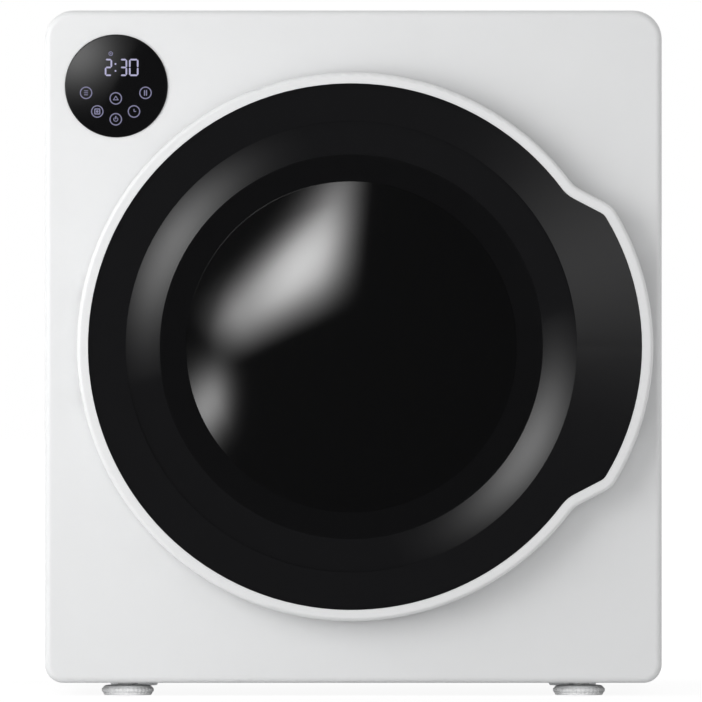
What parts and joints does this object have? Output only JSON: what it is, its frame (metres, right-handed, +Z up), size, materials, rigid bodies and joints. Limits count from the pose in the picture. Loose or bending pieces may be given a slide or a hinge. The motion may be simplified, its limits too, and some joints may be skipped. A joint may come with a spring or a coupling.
{
  "type": "clothes dryer",
  "caption": "Compact front-loading clothes dryer, white cabinet, round black door with a side grip lobe, smoked domed window, round touch control",
  "frame": {"origin": "on the floor, under the middle of the overall width and depth", "axes": "+Z up, +X right as seen from the front, the door faces -Y"},
  "size_m": [0.6, 0.568, 0.6665],
  "materials": {
    "cabinet_paint": "white powder coat",
    "panel_white": "white moulded plastic, satin",
    "rim_white": "white moulded plastic, gloss",
    "door_black": "piano black",
    "window_glass": "smoked glass",
    "lens_black": "gloss black window with display",
    "liner_grey": "light grey moulding",
    "gasket_rubber": "black rubber",
    "felt": "wool felt",
    "galvanised": "galvanised sheet",
    "steel": "machined steel",
    "drum_steel": "brushed stainless",
    "baffle_plastic": "light grey moulding",
    "motor_case": "cast aluminium",
    "fan_plastic": "dark moulding",
    "duct_plastic": "grey moulding",
    "belt_rubber": "black rubber",
    "heater_metal": "resistance alloy",
    "board_green": "circuit board",
    "screen_mesh": "fine nylon mesh",
    "foot_plastic": "pale grey moulding",
    "magnet_black": "black moulding over a magnet"
  },
  "bodies": {
    "cabinet": {"cabinet_shell": "cabinet_paint", "front_panel": "panel_white", "back_panel": "galvanised", "base_plate": "galvanised", "front_bulkhead": "galvanised", "rear_bulkhead": "galvanised", "mouth_tunnel": "liner_grey", "front_felt_seal": "felt", "rear_felt_seal": "felt", "exhaust_collar": "duct_plastic", "cord_gland": "belt_rubber", "cabinet_screws": "steel", "control_lens": "lens_black", "control_housing": "duct_plastic", "control_board": "board_green", "hinge_bracket": "steel", "hinge_pin": "steel", "door_magnet": "magnet_black", "hinge_screws": "steel", "door_switch": "magnet_black", "drum_bearing": "fan_plastic", "heater_housing": "galvanised", "heater_coil": "heater_metal", "thermostat": "magnet_black", "drum_belt": "belt_rubber", "motor_body": "motor_case", "fan_housing": "duct_plastic", "exhaust_duct": "duct_plastic", "drive_bracket": "galvanised", "idler_spring": "steel", "run_capacitor": "motor_case", "air_duct": "duct_plastic"},
    "door": {"door_rim": "rim_white", "door_trim": "door_black", "door_window": "window_glass", "door_inner_panel": "liner_grey", "door_gasket": "gasket_rubber", "hinge_leaf": "steel", "strike_plate": "steel", "door_screws": "steel"},
    "drum": {"drum_shell": "drum_steel", "drum_back": "drum_steel", "drum_baffles": "baffle_plastic", "drum_shaft": "steel"},
    "motor_rotor": {"motor_shaft": "steel", "motor_pulley": "motor_case", "fan_wheel": "fan_plastic"},
    "idler": {"idler_arm": "galvanised"},
    "idler_wheel": {"idler_pulley": "fan_plastic"},
    "plunger": {"switch_plunger": "liner_grey"},
    "lint_filter": {"lint_filter_frame": "liner_grey", "lint_filter_screen": "screen_mesh"},
    "foot_front_left": {"foot_pad_front_left": "foot_plastic"},
    "stem_front_left": {"foot_stem_front_left": "steel"},
    "foot_front_right": {"foot_pad_front_right": "foot_plastic"},
    "stem_front_right": {"foot_stem_front_right": "steel"},
    "foot_rear_left": {"foot_pad_rear_left": "foot_plastic"},
    "stem_rear_left": {"foot_stem_rear_left": "steel"},
    "foot_rear_right": {"foot_pad_rear_right": "foot_plastic"},
    "stem_rear_right": {"foot_stem_rear_right": "steel"}
  },
  "joints": [
    {"name": "door_swing", "type": "hinge", "parent": "cabinet", "child": "door", "pos_m": [-0.2544, -0.271, 0.3395], "axis": [0, 0, -1], "range_deg": [0, 110]},
    {"name": "plunger_slide", "type": "slide", "parent": "cabinet", "child": "plunger", "axis": [0, -1, 0], "range_m": [0, 0.006]},
    {"name": "drum_spin", "type": "hinge", "parent": "cabinet", "child": "drum", "pos_m": [-0.002, 0, 0.3395], "axis": [0, 1, 0], "continuous": true},
    {"name": "motor_spin", "type": "hinge", "parent": "cabinet", "child": "motor_rotor", "pos_m": [0.21631, 0, 0.0927], "axis": [0, 1, 0], "continuous": true},
    {"name": "idler_swing", "type": "hinge", "parent": "cabinet", "child": "idler", "pos_m": [0.10314, 0.007, 0.0315], "axis": [0, 1, 0], "range_deg": [0, 15], "stiffness_Nm_per_rad": 1.5, "springref_deg": -11.46},
    {"name": "idler_spin", "type": "hinge", "parent": "idler", "child": "idler_wheel", "pos_m": [0.1507, 0.007, 0.06106], "axis": [0, 1, 0], "continuous": true},
    {"name": "filter_pull", "type": "slide", "parent": "cabinet", "child": "lint_filter", "axis": [0, 0, 1], "range_m": [0, 0.12]},
    {"name": "foot_rise_front_left", "type": "slide", "parent": "cabinet", "child": "foot_front_left", "axis": [0, 0, -1], "range_m": [0, 0.008]},
    {"name": "foot_turn_front_left", "type": "hinge", "parent": "foot_front_left", "child": "stem_front_left", "pos_m": [-0.22, -0.205, 0.0101], "axis": [0, 0, 1], "range_deg": [0, 1921]},
    {"name": "foot_rise_front_right", "type": "slide", "parent": "cabinet", "child": "foot_front_right", "axis": [0, 0, -1], "range_m": [0, 0.008]},
    {"name": "foot_turn_front_right", "type": "hinge", "parent": "foot_front_right", "child": "stem_front_right", "pos_m": [0.22, -0.205, 0.0101], "axis": [0, 0, 1], "range_deg": [0, 1921]},
    {"name": "foot_rise_rear_left", "type": "slide", "parent": "cabinet", "child": "foot_rear_left", "axis": [0, 0, -1], "range_m": [0, 0.008]},
    {"name": "foot_turn_rear_left", "type": "hinge", "parent": "foot_rear_left", "child": "stem_rear_left", "pos_m": [-0.22, 0.205, 0.0101], "axis": [0, 0, 1], "range_deg": [0, 1921]},
    {"name": "foot_rise_rear_right", "type": "slide", "parent": "cabinet", "child": "foot_rear_right", "axis": [0, 0, -1], "range_m": [0, 0.008]},
    {"name": "foot_turn_rear_right", "type": "hinge", "parent": "foot_rear_right", "child": "stem_rear_right", "pos_m": [0.22, 0.205, 0.0101], "axis": [0, 0, 1], "range_deg": [0, 1921]}
  ],
  "couplings": [
    {"joint": "plunger_slide", "follows": "door_swing", "m_per_rad": 0.0031252},
    {"joint": "motor_spin", "follows": "drum_spin", "ratio": 23.078},
    {"joint": "idler_spin", "follows": "drum_spin", "ratio": -15.188},
    {"joint": "foot_turn_front_left", "follows": "foot_rise_front_left", "rad_per_m": 4188.8},
    {"joint": "foot_turn_front_right", "follows": "foot_rise_front_right", "rad_per_m": 4188.8},
    {"joint": "foot_turn_rear_left", "follows": "foot_rise_rear_left", "rad_per_m": 4188.8},
    {"joint": "foot_turn_rear_right", "follows": "foot_rise_rear_right", "rad_per_m": 4188.8}
  ]
}
